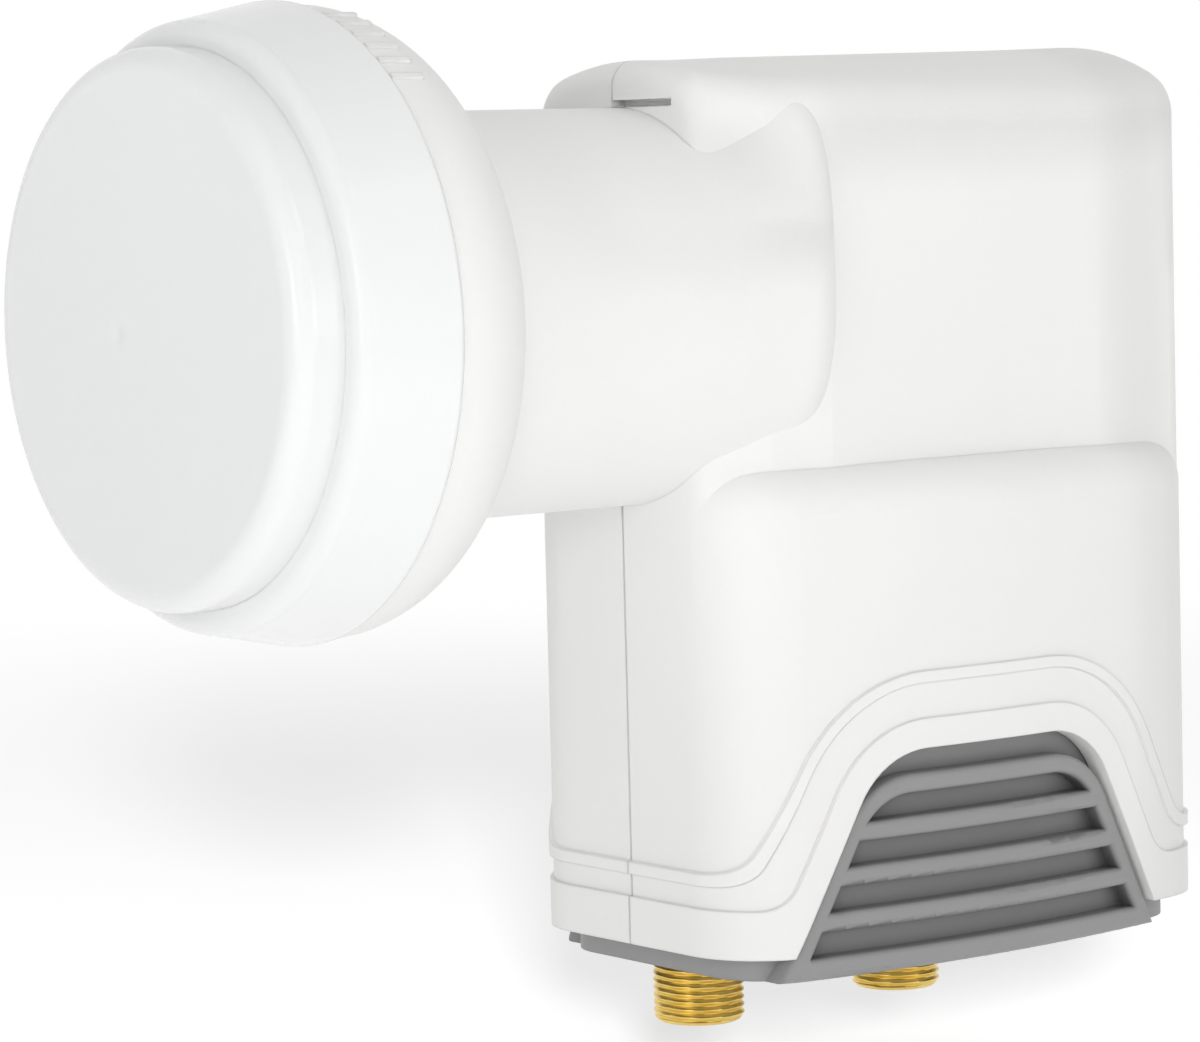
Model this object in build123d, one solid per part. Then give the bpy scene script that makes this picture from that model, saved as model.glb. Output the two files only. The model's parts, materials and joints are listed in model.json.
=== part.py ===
"""Satellite LNB with a 40 mm neck, two half shells, a sliding weather boot and two F sockets.

Frame: millimetres, +Z up, the feed axis runs along Y and the cap looks to -Y.
The origin is on the feed axis at the middle of the clamping zone of the neck.
"""

import os
from math import atan2, cos, pi, radians, sin, sqrt, tan

from build123d import *

# Driving sizes of the neck, bowl and cap
NECK_R = 20.0
NECK_HALF = 14.0
NECK_FILLET = 1.5
BOWL_R = 30.3
BOWL_AXIAL = 9.5
RIM_Y = -26.9
CAP_FACE_Y = -42.3
CAP_RIM_R = 30.7
CAP_SHOULDER_R = 29.0
CAP_SHOULDER_Y = -36.0
CAP_GROOVE_R = 26.4
CAP_GROOVE_Y = -37.1
CAP_EDGE_R = 2.2
CAP_BORE_R = 27.6
CAP_SEAT_Y = -35.2
CAP_WALL = 1.6

# Driving sizes of the housing
WALL = 2.2
FRONT = NECK_HALF
DEPTH = 65.0
BACK = FRONT + DEPTH
MID_Y = FRONT + DEPTH / 2
LOWER_W = 21.3
SIDE_R = 140.0
CORNER_R = 9.0
LEDGE_Z = -16.3
LEDGE_R = 4.4
SHELL_BOTTOM = -64.8
UPPER_W = 16.6
UPPER_FRONT_W = 12.8
UPPER_QUARTER_W = 15.5
UPPER_FRONT_L = 14.0
UPPER_BACK_W = 15.0
UPPER_BACK_L = 14.0
UPPER_END_R = 2.8
UPPER_FOOT_Z = LEDGE_Z - 14.0
CROWN_CORNER_R = 5.0
CROWN_FRONT_R = 40.0
CROWN_BACK_R = 28.0
CROWN_FRONT_Z = 24.7
CROWN_MID_Z = 24.9
CROWN_BEND_Z = 25.4
CROWN_BACK_Z = 25.7
BULGE_END_Y = FRONT + UPPER_FRONT_L
BULGE_END_R = 4.5
BULGE_DRAFT = 0.3
SEAM_GAP = 0.24
SEAM_DEPTH = 0.9
SLOT_L = 9.5
SLOT_D = 1.6
SLOT_Z = NECK_R + 0.05
SLOT_H = 0.7
RING_YS = (-2.0, 8.0)
RING_T = 2.0
TICK_COUNT = 6
TICK_ANGLE = 49.0
TICK_STEP = 4.6
TICK_L = 3.6
TICK_W = 0.6
TICK_H = 0.3
SPARE = 5.0
WIDE = 60.0

# Driving sizes of the arch cut-out, the bead and the raised border round it
ARCH_Y = MID_Y - 2.4
ARCH_TOP_Z = -45.0
ARCH_TOP_HALF = 14.05
ARCH_SLOPE = radians(62.5)
ARCH_R = 9.3
ARCH_FOOT_R = 4.0
BEAD_OFFSET = 7.2
BEAD_W = 1.2
BEAD_H = 0.45
BEAD_Z = -57.0
BORDER_OFFSET = 3.0
BORDER_H = 0.4
BORDER_Z = -59.9

# Driving sizes of the weather boot
BOOT_GAP = 0.4
BOOT_WALL = 1.4
BOOT_RIM_Z = -67.4
BOOT_TOP_Z = -40.0
GRIP_CLEAR = 0.45
GRIP_DROP = 2.2
GRIP_RIB = 1.9
GRIP_SUNK = 0.4
GRIP_ROUND = 0.6
LIP_H = 2.2
RIB_TOP_Z = -52.9
RIB_PITCH = 4.4
RIB_COUNT = 3

# Driving sizes of the casting and the electronics
GUIDE_R = 8.74
TUBE_R = 9.94
GUIDE_END_Y = 40.0
HORN_MOUTH_R = 21.5
HORN_THROAT_Y = -4.0
CHOKE_R0 = 23.0
CHOKE_R1 = 25.2
CHOKE_END_Y = -28.0
FLANGE_GAP = 0.15
FLANGE_T = 0.9
HORN_BACK_R = 19.0
HORN_BACK_L = 2.6
SEAL_Y = -31.0
SEAL_R = 0.8
TRAY_Y0 = FRONT + 9.5
TRAY_Y1 = BACK - 12.0
TRAY_Z0 = -56.5
TRAY_Z1 = 11.3
SHELF_H = 3.0
SHELF_INSET = WALL + BOOT_GAP + BOOT_WALL + 0.4
PLATE_X = -9.4
PLATE_T = 1.2
BOARD_T = 0.8
RIM_X = -12.95
TRAY_WALL = 1.8
COVER_T = 0.5
GUSSET_L = 10.4
GUSSET_H = 15.5
GUSSET_T = 1.6
BOSS_R = 2.2
SCREW_R = 0.8
SCREW_L = 2.5
HEAD_R = 1.7
HEAD_H = 0.4

# Driving sizes of the sockets
SOCKET_X = -6.0
SOCKET_MID_Y = MID_Y - 5.6
SOCKET_PITCH = 27.4
SOCKET_R = 4.7625
SOCKET_END_Z = -75.2
SOCKET_BORE = 2.6
SPIGOT_R = 4.0
HEX_AF = 11.0
HEX_H = 3.0
WASHER_R = 6.0
WASHER_H = 0.8
MOUTH_BEVEL = 0.5
CORE_SUNK = 0.6
PIN_SUNK = 1.2
PIN_R = 0.5
PIN_HOLE_R = 1.2
PIN_BEND_Z = -48.0

# Driving sizes of the probes and the parts on the board
PROBE_R = 0.45
BUSH_R = 1.4
PROBE_TIP = 3.5
PROBE_H_Y = 30.0
PROBE_V_Y = 36.0
PROBE_V_Z = -12.5
BOARD_X = PLATE_X - PLATE_T - BOARD_T
LEAD_X = BOARD_X - 0.5
SOCKET_YS = (SOCKET_MID_Y - SOCKET_PITCH / 2, SOCKET_MID_Y + SOCKET_PITCH / 2)


def prism_z(face, z0, z1):
    """Extrude a plan outline between two heights."""
    return extrude(Pos(0, 0, z0) * face, amount=z1 - z0)


def prism_x(face, x0, x1):
    """Extrude a side outline, drawn as (Y, Z), between two X positions."""
    return extrude(Plane.YZ.offset(x0) * face, amount=x1 - x0)


def prism_y(face, y0, y1):
    """Extrude a front outline, drawn as (X, Z), between two Y positions."""
    return extrude(front_plane(y0) * face, amount=y0 - y1)


def box(x0, x1, y0, y1, z0, z1):
    """Box between two corners."""
    middle = Pos((x0 + x1) / 2, (y0 + y1) / 2, (z0 + z1) / 2)
    return middle * Box(x1 - x0, y1 - y0, z1 - z0)


def rod_z(x, y, z0, z1, r):
    """Upright cylinder between two heights."""
    return Pos(x, y, (z0 + z1) / 2) * Cylinder(r, z1 - z0)


def rod_x(x0, x1, y, z, r):
    """Cylinder along X between two positions."""
    return Pos((x0 + x1) / 2, y, z) * Rot(0, 90, 0) * Cylinder(r, x1 - x0)


def turned(*lines):
    """Turn a closed profile, drawn as (radius, Y), round the feed axis."""
    return revolve(make_face(lines), Axis.Y, 360)


def rounded(points, radii):
    """Face of a closed polygon whose corners are rounded by the given radii."""
    outline = make_face(Polyline(*points, close=True))
    for point, radius in zip(points, radii):
        if radius <= 0:
            continue
        corner = outline.vertices().sort_by_distance((point[0], point[1], 0))[0]
        outline = fillet(corner, radius)
    return outline


def lower_plan(inset):
    """Plan outline of the lower housing, with bowed sides, set in by a distance."""
    half = DEPTH / 2 - inset
    radius = SIDE_R - inset
    edge = LOWER_W - SIDE_R + sqrt(radius**2 - half**2)
    y0, y1 = MID_Y - half, MID_Y + half
    outline = make_face(
        [
            Line((-edge, y0), (edge, y0)),
            ThreePointArc((edge, y0), (LOWER_W - inset, MID_Y), (edge, y1)),
            Line((edge, y1), (-edge, y1)),
            ThreePointArc((-edge, y1), (inset - LOWER_W, MID_Y), (-edge, y0)),
        ]
    )
    return fillet(outline.vertices(), CORNER_R - inset)


def lower_body(inset, z0):
    """Lower housing with its rounded shoulder."""
    body = prism_z(lower_plan(inset), z0, LEDGE_Z - inset)
    rim = body.faces().sort_by(Axis.Z)[-1].edges()
    return fillet(rim, LEDGE_R - inset)


def front_plane(y):
    """Plane across the feed axis, drawn on as (X, Z)."""
    return Plane(origin=(0, y, 0), x_dir=(1, 0, 0), z_dir=(0, -1, 0))


def crown_outline(half, top, crown, inset):
    """Front outline of the upper housing: upright sides under a three-centred crown."""
    corner, arc = CROWN_CORNER_R - inset, crown - inset
    side = half - CROWN_CORNER_R
    rise = sqrt((crown - CROWN_CORNER_R) ** 2 - side**2)
    spring = top - crown + rise
    lean = atan2(side, rise)
    turn = (lean + pi / 2) / 2
    shoulder = (side + corner * sin(turn), spring + corner * cos(turn))
    tangent = (arc * sin(lean), top - crown + arc * cos(lean))
    w, low = half - inset, UPPER_FOOT_Z
    return make_face(
        [
            Line((-w, low), (w, low)),
            Line((w, low), (w, spring)),
            ThreePointArc((w, spring), shoulder, tangent),
            ThreePointArc(tangent, (0, top - inset), (-tangent[0], tangent[1])),
            ThreePointArc((-tangent[0], tangent[1]), (-shoulder[0], shoulder[1]), (-w, spring)),
            Line((-w, spring), (-w, low)),
        ]
    )


def upper_body(inset):
    """Upper housing: crowned across, drawn in at both ends and rounded over there."""
    stations = (
        (FRONT + inset, UPPER_FRONT_W, CROWN_FRONT_Z, CROWN_FRONT_R),
        (FRONT + UPPER_FRONT_L / 2, UPPER_QUARTER_W, CROWN_FRONT_Z, CROWN_FRONT_R),
        (FRONT + UPPER_FRONT_L, UPPER_W, CROWN_MID_Z, CROWN_FRONT_R),
        (BACK - UPPER_BACK_L, UPPER_W, CROWN_BEND_Z, CROWN_BACK_R),
        (BACK - inset, UPPER_BACK_W, CROWN_BACK_Z, CROWN_BACK_R),
    )
    body = loft([front_plane(y) * crown_outline(*shape, inset) for y, *shape in stations], ruled=True)
    for end in (0, -1):
        outline = body.faces().sort_by(Axis.Y)[end].edges()
        outline = outline.filter_by(lambda edge: edge.center().Z > UPPER_FOOT_Z + 1)
        body = fillet(outline, UPPER_END_R - inset)
    return body


def neck_body(inset, reach):
    """Bowl, neck and the rounded swelling that the neck leaves on the housing's sides."""
    rim, neck = BOWL_R - inset, NECK_R - inset
    start = RIM_Y - reach
    back = -NECK_HALF - NECK_FILLET - inset
    foot = neck + NECK_FILLET
    shoulder = back - BOWL_AXIAL
    end, end_r = BULGE_END_Y - inset, BULGE_END_R - inset
    bulge = neck - BULGE_DRAFT
    return turned(
        Line((0, start), (rim, start)),
        Line((rim, start), (rim, shoulder)),
        EllipticalCenterArc((foot, shoulder), rim - foot, back - shoulder, arc_size=90),
        RadiusArc((foot, back), (neck, back + NECK_FILLET), NECK_FILLET),
        Line((neck, back + NECK_FILLET), (neck, FRONT)),
        Line((neck, FRONT), (bulge, end - end_r)),
        RadiusArc((bulge, end - end_r), (bulge - end_r, end), -end_r),
        Line((bulge - end_r, end), (0, end)),
        Line((0, end), (0, start)),
    )


def housing_form(inset, z0, reach):
    """The whole housing as one solid form, set in by a distance."""
    return lower_body(inset, z0) + upper_body(inset) + neck_body(inset, reach)


def arch_half(offset, z):
    """Half width of the arch at a height, with its sides moved out by a distance."""
    return ARCH_TOP_HALF + offset / sin(ARCH_SLOPE) + (ARCH_TOP_Z - z) / tan(ARCH_SLOPE)


def arch_area(offset, base_z):
    """Side outline of everything under a line that runs level and rises over the arch."""
    top = ARCH_TOP_Z + offset
    half_top, half_low = arch_half(offset, top), arch_half(offset, base_z)
    y0, y1, floor_z = FRONT - SPARE, BACK + SPARE, SHELL_BOTTOM - SPARE
    points = [
        (y0, base_z),
        (ARCH_Y - half_low, base_z),
        (ARCH_Y - half_top, top),
        (ARCH_Y + half_top, top),
        (ARCH_Y + half_low, base_z),
        (y1, base_z),
        (y1, floor_z),
        (y0, floor_z),
    ]
    bend = ARCH_R + offset
    return rounded(points, [0, ARCH_FOOT_R, bend, bend, ARCH_FOOT_R, 0, 0, 0])


def arch_hole(offset, floor_z, drop=0.0):
    """Side outline of the arch itself, open at the bottom, with its top lowered by a distance."""
    top = ARCH_TOP_Z + offset - drop
    half_top, half_low = arch_half(offset, top), arch_half(offset, floor_z)
    points = [
        (ARCH_Y - half_low, floor_z),
        (ARCH_Y - half_top, top),
        (ARCH_Y + half_top, top),
        (ARCH_Y + half_low, floor_z),
    ]
    bend = ARCH_R + offset
    return rounded(points, [0, bend, bend, 0])


def make_housing():
    """The two half shells, right (+X) and left (-X)."""
    below, bead_top = SHELL_BOTTOM - SPARE, LEDGE_Z - LEDGE_R
    bead = arch_area(BEAD_OFFSET + BEAD_W / 2, BEAD_Z + BEAD_W / 2)
    bead = bead - arch_area(BEAD_OFFSET - BEAD_W / 2, BEAD_Z - BEAD_W / 2)
    bead = prism_x(bead, -WIDE, WIDE) & prism_z(lower_plan(-BEAD_H), SHELL_BOTTOM, bead_top)
    border = prism_x(arch_area(BORDER_OFFSET, BORDER_Z), -WIDE, WIDE)
    border = border & prism_z(lower_plan(-BORDER_H), SHELL_BOTTOM, bead_top)
    shell = housing_form(0, SHELL_BOTTOM, 0) + bead + border
    shell = shell - housing_form(WALL, below, SPARE)
    shell = shell - prism_x(arch_hole(0, below), -WIDE, WIDE)
    for y in RING_YS:
        inner, outer, end = TUBE_R, NECK_R - WALL / 2, y + RING_T
        shell = shell + turned(
            Line((inner, y), (outer, y)),
            Line((outer, y), (outer, end)),
            Line((outer, end), (inner, end)),
            Line((inner, end), (inner, y)),
        )
    seam = box(-SEAM_GAP / 2, SEAM_GAP / 2, RIM_Y - SPARE, BACK + SPARE, below, WIDE)
    shell = shell - (seam - housing_form(SEAM_DEPTH, below, SPARE))
    right = shell & box(0, WIDE, RIM_Y - SPARE, BACK + SPARE, below, WIDE)
    left = shell & box(-WIDE, 0, RIM_Y - SPARE, BACK + SPARE, below, WIDE)
    tick = box(BOWL_R - 1, BOWL_R + TICK_H, RIM_Y, RIM_Y + TICK_L, -TICK_W / 2, TICK_W / 2)
    for number in range(TICK_COUNT):
        angle = TICK_ANGLE + TICK_STEP * number
        right = right + Rot(0, -angle, 0) * tick
        left = left + Rot(0, angle - 180, 0) * tick
    slot = box(0, SLOT_L, FRONT - 1, FRONT + SLOT_D, SLOT_Z, SLOT_Z + SLOT_H)
    return right - slot, left


def make_cap():
    """Feed cap: a stepped, hollow white cap that covers the horn."""
    face, liner = CAP_GROOVE_R - CAP_EDGE_R, CAP_GROOVE_R - CAP_WALL
    inside = CAP_FACE_Y + CAP_WALL
    return turned(
        Line((0, CAP_FACE_Y), (face, CAP_FACE_Y)),
        RadiusArc((face, CAP_FACE_Y), (CAP_GROOVE_R, CAP_FACE_Y + CAP_EDGE_R), -CAP_EDGE_R),
        Line((CAP_GROOVE_R, CAP_FACE_Y + CAP_EDGE_R), (CAP_GROOVE_R, CAP_GROOVE_Y)),
        Line((CAP_GROOVE_R, CAP_GROOVE_Y), (CAP_SHOULDER_R - 1.6, CAP_GROOVE_Y)),
        RadiusArc(
            (CAP_SHOULDER_R - 1.6, CAP_GROOVE_Y),
            (CAP_SHOULDER_R, CAP_SHOULDER_Y + 0.5),
            -1.65,
        ),
        Line((CAP_SHOULDER_R, CAP_SHOULDER_Y + 0.5), (CAP_RIM_R, RIM_Y - 0.4)),
        Line((CAP_RIM_R, RIM_Y - 0.4), (CAP_RIM_R - 0.3, RIM_Y)),
        Line((CAP_RIM_R - 0.3, RIM_Y), (CAP_BORE_R, RIM_Y)),
        Line((CAP_BORE_R, RIM_Y), (CAP_BORE_R, CAP_SEAT_Y)),
        Line((CAP_BORE_R, CAP_SEAT_Y), (liner, CAP_SEAT_Y)),
        Line((liner, CAP_SEAT_Y), (liner, inside)),
        Line((liner, inside), (0, inside)),
        Line((0, inside), (0, CAP_FACE_Y)),
    )


def make_boot():
    """Weather boot: a tube that follows the lower housing, with ribbed grips in the arches."""
    outer, inner = WALL + BOOT_GAP, WALL + BOOT_GAP + BOOT_WALL
    low, high = BOOT_RIM_Z - 1, BOOT_TOP_Z + 1
    skin = prism_z(lower_plan(outer), BOOT_RIM_Z, BOOT_TOP_Z)
    boot = skin - prism_z(lower_plan(inner), low, high)
    frame = arch_hole(-GRIP_CLEAR, BOOT_RIM_Z, GRIP_DROP)
    ribs = frame - arch_hole(-GRIP_CLEAR - GRIP_RIB, BOOT_RIM_Z, GRIP_DROP)
    within = arch_hole(-GRIP_CLEAR - GRIP_RIB / 2, BOOT_RIM_Z, GRIP_DROP)
    for number in range(RIB_COUNT):
        bar = Pos(ARCH_Y, RIB_TOP_Z - RIB_PITCH * number) * Rectangle(DEPTH, GRIP_RIB)
        ribs = ribs + (within & bar)
    ribs = ribs + (frame & (Pos(ARCH_Y, BOOT_RIM_Z + LIP_H / 2) * Rectangle(DEPTH, LIP_H)))
    grip = prism_z(lower_plan(GRIP_SUNK), BOOT_RIM_Z, BOOT_TOP_Z)
    grip = grip - prism_z(lower_plan((outer + inner) / 2), low, high)
    for side in (1, -1):
        pad = grip & prism_x(ribs, 0, side * WIDE)
        face = pad.faces().sort_by(Axis.X)[-1 if side > 0 else 0]
        boot = boot + fillet(face.edges(), GRIP_ROUND)
    return boot


def make_casting(bosses):
    """Die-cast horn, round waveguide and the tray that carries the board and the sockets."""
    flange = BOWL_R - WALL - FLANGE_GAP
    horn = turned(
        Line((GUIDE_R, GUIDE_END_Y), (GUIDE_R, HORN_THROAT_Y)),
        Line((GUIDE_R, HORN_THROAT_Y), (HORN_MOUTH_R, CAP_SEAT_Y)),
        Line((HORN_MOUTH_R, CAP_SEAT_Y), (CHOKE_R0, CAP_SEAT_Y)),
        Line((CHOKE_R0, CAP_SEAT_Y), (CHOKE_R0, CHOKE_END_Y)),
        Line((CHOKE_R0, CHOKE_END_Y), (CHOKE_R1, CHOKE_END_Y)),
        Line((CHOKE_R1, CHOKE_END_Y), (CHOKE_R1, CAP_SEAT_Y)),
        Line((CHOKE_R1, CAP_SEAT_Y), (CAP_BORE_R, CAP_SEAT_Y)),
        Line((CAP_BORE_R, CAP_SEAT_Y), (CAP_BORE_R, SEAL_Y - 1)),
        Line((CAP_BORE_R, SEAL_Y - 1), (CAP_BORE_R - 2 * SEAL_R, SEAL_Y - 1)),
        Line((CAP_BORE_R - 2 * SEAL_R, SEAL_Y - 1), (CAP_BORE_R - 2 * SEAL_R, SEAL_Y + 1)),
        Line((CAP_BORE_R - 2 * SEAL_R, SEAL_Y + 1), (CAP_BORE_R, SEAL_Y + 1)),
        Line((CAP_BORE_R, SEAL_Y + 1), (CAP_BORE_R, RIM_Y)),
        Line((CAP_BORE_R, RIM_Y), (flange, RIM_Y)),
        Line((flange, RIM_Y), (flange, RIM_Y + FLANGE_T)),
        Line((flange, RIM_Y + FLANGE_T), (HORN_BACK_R, RIM_Y + HORN_BACK_L)),
        Line((HORN_BACK_R, RIM_Y + HORN_BACK_L), (TUBE_R, HORN_THROAT_Y)),
        Line((TUBE_R, HORN_THROAT_Y), (TUBE_R, GUIDE_END_Y + 1.5)),
        Line((TUBE_R, GUIDE_END_Y + 1.5), (0, GUIDE_END_Y + 1.5)),
        Line((0, GUIDE_END_Y + 1.5), (0, GUIDE_END_Y)),
        Line((0, GUIDE_END_Y), (GUIDE_R, GUIDE_END_Y)),
    )
    plate = box(PLATE_X - PLATE_T, PLATE_X, TRAY_Y0, TRAY_Y1, TRAY_Z0, TRAY_Z1)
    rim = box(RIM_X, PLATE_X, TRAY_Y0, TRAY_Y1, TRAY_Z0, TRAY_Z1)
    rim = rim - box(
        RIM_X - 1,
        PLATE_X + 1,
        TRAY_Y0 + TRAY_WALL,
        TRAY_Y1 - TRAY_WALL,
        TRAY_Z0 + SHELF_H,
        TRAY_Z1 - TRAY_WALL,
    )
    shelf = prism_z(lower_plan(SHELF_INSET), TRAY_Z0, TRAY_Z0 + SHELF_H)
    casting = horn + plate + rim + shelf
    top = TRAY_Z0 + SHELF_H
    toe, peak = (PLATE_X + GUSSET_L, top), (PLATE_X, top + GUSSET_H)
    gusset = make_face(Polyline((PLATE_X, top), toe, peak, close=True))
    for y in (TRAY_Y0, (TRAY_Y0 + TRAY_Y1 - GUSSET_T) / 2, TRAY_Y1 - GUSSET_T):
        casting = casting + prism_y(gusset, y, y + GUSSET_T)
    for y, z in bosses:
        casting = casting + rod_x(RIM_X, PLATE_X, y, z, BOSS_R)
    casting = casting - turned(
        Line((0, HORN_THROAT_Y), (GUIDE_R, HORN_THROAT_Y)),
        Line((GUIDE_R, HORN_THROAT_Y), (GUIDE_R, GUIDE_END_Y)),
        Line((GUIDE_R, GUIDE_END_Y), (0, GUIDE_END_Y)),
        Line((0, GUIDE_END_Y), (0, HORN_THROAT_Y)),
    )
    for y, z in bosses:
        casting = casting - rod_x(RIM_X - 1, RIM_X + SCREW_L + 0.5, y, z, SCREW_R)
    for y in SOCKET_YS:
        casting = casting - rod_z(SOCKET_X, y, TRAY_Z0 - 1, TRAY_Z0 + SHELF_H + 1, SPIGOT_R)
        casting = casting - rod_x(PLATE_X - PLATE_T - 0.1, PLATE_X + 0.1, y, PIN_BEND_Z, PIN_HOLE_R)
    casting = casting - rod_x(PLATE_X - PLATE_T - 0.1, -GUIDE_R + 1.5, PROBE_H_Y, 0, BUSH_R)
    casting = casting - rod_x(PLATE_X - PLATE_T - 0.1, PLATE_X + 0.1, PROBE_V_Y, PROBE_V_Z, BUSH_R)
    return casting - rod_z(0, PROBE_V_Y, -TUBE_R - 1, -GUIDE_R + 1.5, BUSH_R)


def bent_pin(points, r):
    """Round wire that runs along X and Z from point to point."""
    pin = None
    for start, end in zip(points, points[1:]):
        if start[2] == end[2]:
            x0, x1 = sorted((start[0], end[0]))
            run = rod_x(x0, x1, start[1], start[2], r)
        else:
            z0, z1 = sorted((start[2], end[2]))
            run = rod_z(start[0], start[1], z0, z1, r)
        pin = run if pin is None else pin + run
    for corner in points[1:-1]:
        pin = pin + Pos(*corner) * Sphere(r)
    return pin


def make_board(bosses):
    """Circuit board on the tray's plate, cleared round the screw bosses and drilled for the pins."""
    board = box(
        BOARD_X,
        BOARD_X + BOARD_T,
        TRAY_Y0 + TRAY_WALL + 0.1,
        TRAY_Y1 - TRAY_WALL - 0.1,
        TRAY_Z0 + SHELF_H + 0.1,
        TRAY_Z1 - TRAY_WALL - 0.1,
    )
    for y, z in bosses:
        board = board - rod_x(BOARD_X - 1, BOARD_X + 2, y, z, BOSS_R + 0.15)
    drilled = [(PROBE_H_Y, 0.0), (PROBE_V_Y, PROBE_V_Z)] + [(y, PIN_BEND_Z) for y in SOCKET_YS]
    for y, z in drilled:
        board = board - rod_x(BOARD_X - 1, BOARD_X + 2, y, z, PIN_R + 0.05)
    return board


def chip(y, z, wide, tall, thick):
    """Block-shaped part soldered on the board's outer face."""
    return box(BOARD_X - thick, BOARD_X, y - wide / 2, y + wide / 2, z - tall / 2, z + tall / 2)


def make_socket(y):
    """Outer conductor of an F socket: spigot, hexagon and the 3/8 inch thread as a plain cylinder."""
    hex_top = TRAY_Z0 - WASHER_H
    hexagon = RegularPolygon(HEX_AF / 2, 6, major_radius=False)
    socket = prism_z(Pos(SOCKET_X, y) * hexagon, hex_top - HEX_H, hex_top)
    thread = rod_z(SOCKET_X, y, SOCKET_END_Z, hex_top - HEX_H, SOCKET_R)
    mouth = thread.faces().sort_by(Axis.Z)[0].edges()
    socket = socket + chamfer(mouth, MOUTH_BEVEL)
    socket = socket + rod_z(SOCKET_X, y, hex_top, TRAY_Z0 + SHELF_H, SPIGOT_R)
    return socket - rod_z(SOCKET_X, y, SOCKET_END_Z - 1, TRAY_Z0 + SHELF_H + 1, SOCKET_BORE)


def ring_z(x, y, z0, z1, outer, inner):
    """Upright ring between two heights."""
    return rod_z(x, y, z0, z1, outer) - rod_z(x, y, z0 - 1, z1 + 1, inner)


BOSSES = [
    (y, z)
    for y in (TRAY_Y0 + BOSS_R, (TRAY_Y0 + TRAY_Y1) / 2, TRAY_Y1 - BOSS_R)
    for z in (TRAY_Z0 + SHELF_H + BOSS_R, TRAY_Z1 - BOSS_R)
]

os.makedirs("parts", exist_ok=True)

# Housing, cap and boot
right_shell, left_shell = make_housing()
export_step(right_shell, "parts/housing_right.step")
export_step(left_shell, "parts/housing_left.step")
export_step(make_cap(), "parts/feed_cap.step")
seal = Pos(0, SEAL_Y, 0) * Rot(90, 0, 0) * Torus(CAP_BORE_R - SEAL_R, SEAL_R)
export_step(seal, "parts/cap_seal.step")
export_step(make_boot(), "parts/weather_boot.step")

# Casting and its cover
export_step(make_casting(BOSSES), "parts/horn_casting.step")
cover = box(RIM_X - COVER_T, RIM_X, TRAY_Y0, TRAY_Y1, TRAY_Z0 + SHELF_H, TRAY_Z1)
screws = []
for boss_y, boss_z in BOSSES:
    cover = cover - rod_x(RIM_X - 2, RIM_X + 1, boss_y, boss_z, SCREW_R + 0.2)
    head = rod_x(RIM_X - COVER_T - HEAD_H, RIM_X - COVER_T, boss_y, boss_z, HEAD_R)
    screws.append(head + rod_x(RIM_X - COVER_T, RIM_X + SCREW_L, boss_y, boss_z, SCREW_R))
export_step(cover, "parts/shield_cover.step")
export_step(Compound(children=screws), "parts/cover_screws.step")

# Board and the parts on it
export_step(make_board(BOSSES), "parts/circuit_board.step")
CHIP, TRANSISTOR, CRYSTAL = (5.0, 5.0, 0.9), (2.0, 1.3, 0.9), (3.2, 2.5, 0.8)
REGULATOR, CAPACITOR = (4.6, 2.6, 1.5), (3.2, 1.6, 1.3)
LINE_Z, SUPPLY_Z = PROBE_V_Z - 11.5, PIN_BEND_Z + 6.0
FIRST_Y, LAST_Y = SOCKET_YS
BOARD_PARTS = {
    "converter_chip_1": (SOCKET_MID_Y - 3.9, LINE_Z, *CHIP),
    "converter_chip_2": (SOCKET_MID_Y + 13.1, LINE_Z, *CHIP),
    "noise_transistor_1": (PROBE_H_Y - 3.5, 0.0, *TRANSISTOR),
    "noise_transistor_2": (PROBE_H_Y - 3.5, -8.0, *TRANSISTOR),
    "noise_transistor_3": (PROBE_V_Y + 4.0, PROBE_V_Z, *TRANSISTOR),
    "noise_transistor_4": (PROBE_V_Y + 11.0, PROBE_V_Z, *TRANSISTOR),
    "crystal": (SOCKET_MID_Y + 4.6, LINE_Z - 7.0, *CRYSTAL),
    "regulator_1": (FIRST_Y + 7.3, SUPPLY_Z, *REGULATOR),
    "regulator_2": (LAST_Y + 5.9, SUPPLY_Z, *REGULATOR),
    "capacitor_1": (FIRST_Y + 0.8, SUPPLY_Z + 4.0, *CAPACITOR),
    "capacitor_2": (LAST_Y - 5.6, SUPPLY_Z, *CAPACITOR),
}
for name, place in BOARD_PARTS.items():
    export_step(chip(*place), f"parts/{name}.step")

# Probes in the waveguide
straight = bent_pin([(LEAD_X, PROBE_H_Y, 0.0), (-PROBE_TIP, PROBE_H_Y, 0.0)], PROBE_R)
export_step(straight, "parts/probe_horizontal.step")
elbow = [
    (LEAD_X, PROBE_V_Y, PROBE_V_Z),
    (0.0, PROBE_V_Y, PROBE_V_Z),
    (0.0, PROBE_V_Y, -PROBE_TIP),
]
export_step(bent_pin(elbow, PROBE_R), "parts/probe_vertical.step")
sleeve_h = rod_x(PLATE_X - PLATE_T, -GUIDE_R, PROBE_H_Y, 0, BUSH_R)
sleeve_h = sleeve_h - rod_x(PLATE_X - PLATE_T - 1, -GUIDE_R + 1, PROBE_H_Y, 0, PROBE_R)
export_step(sleeve_h, "parts/probe_bush_1.step")
sleeve_v = ring_z(0, PROBE_V_Y, -TUBE_R, -GUIDE_R, BUSH_R, PROBE_R)
export_step(sleeve_v, "parts/probe_bush_2.step")

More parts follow.
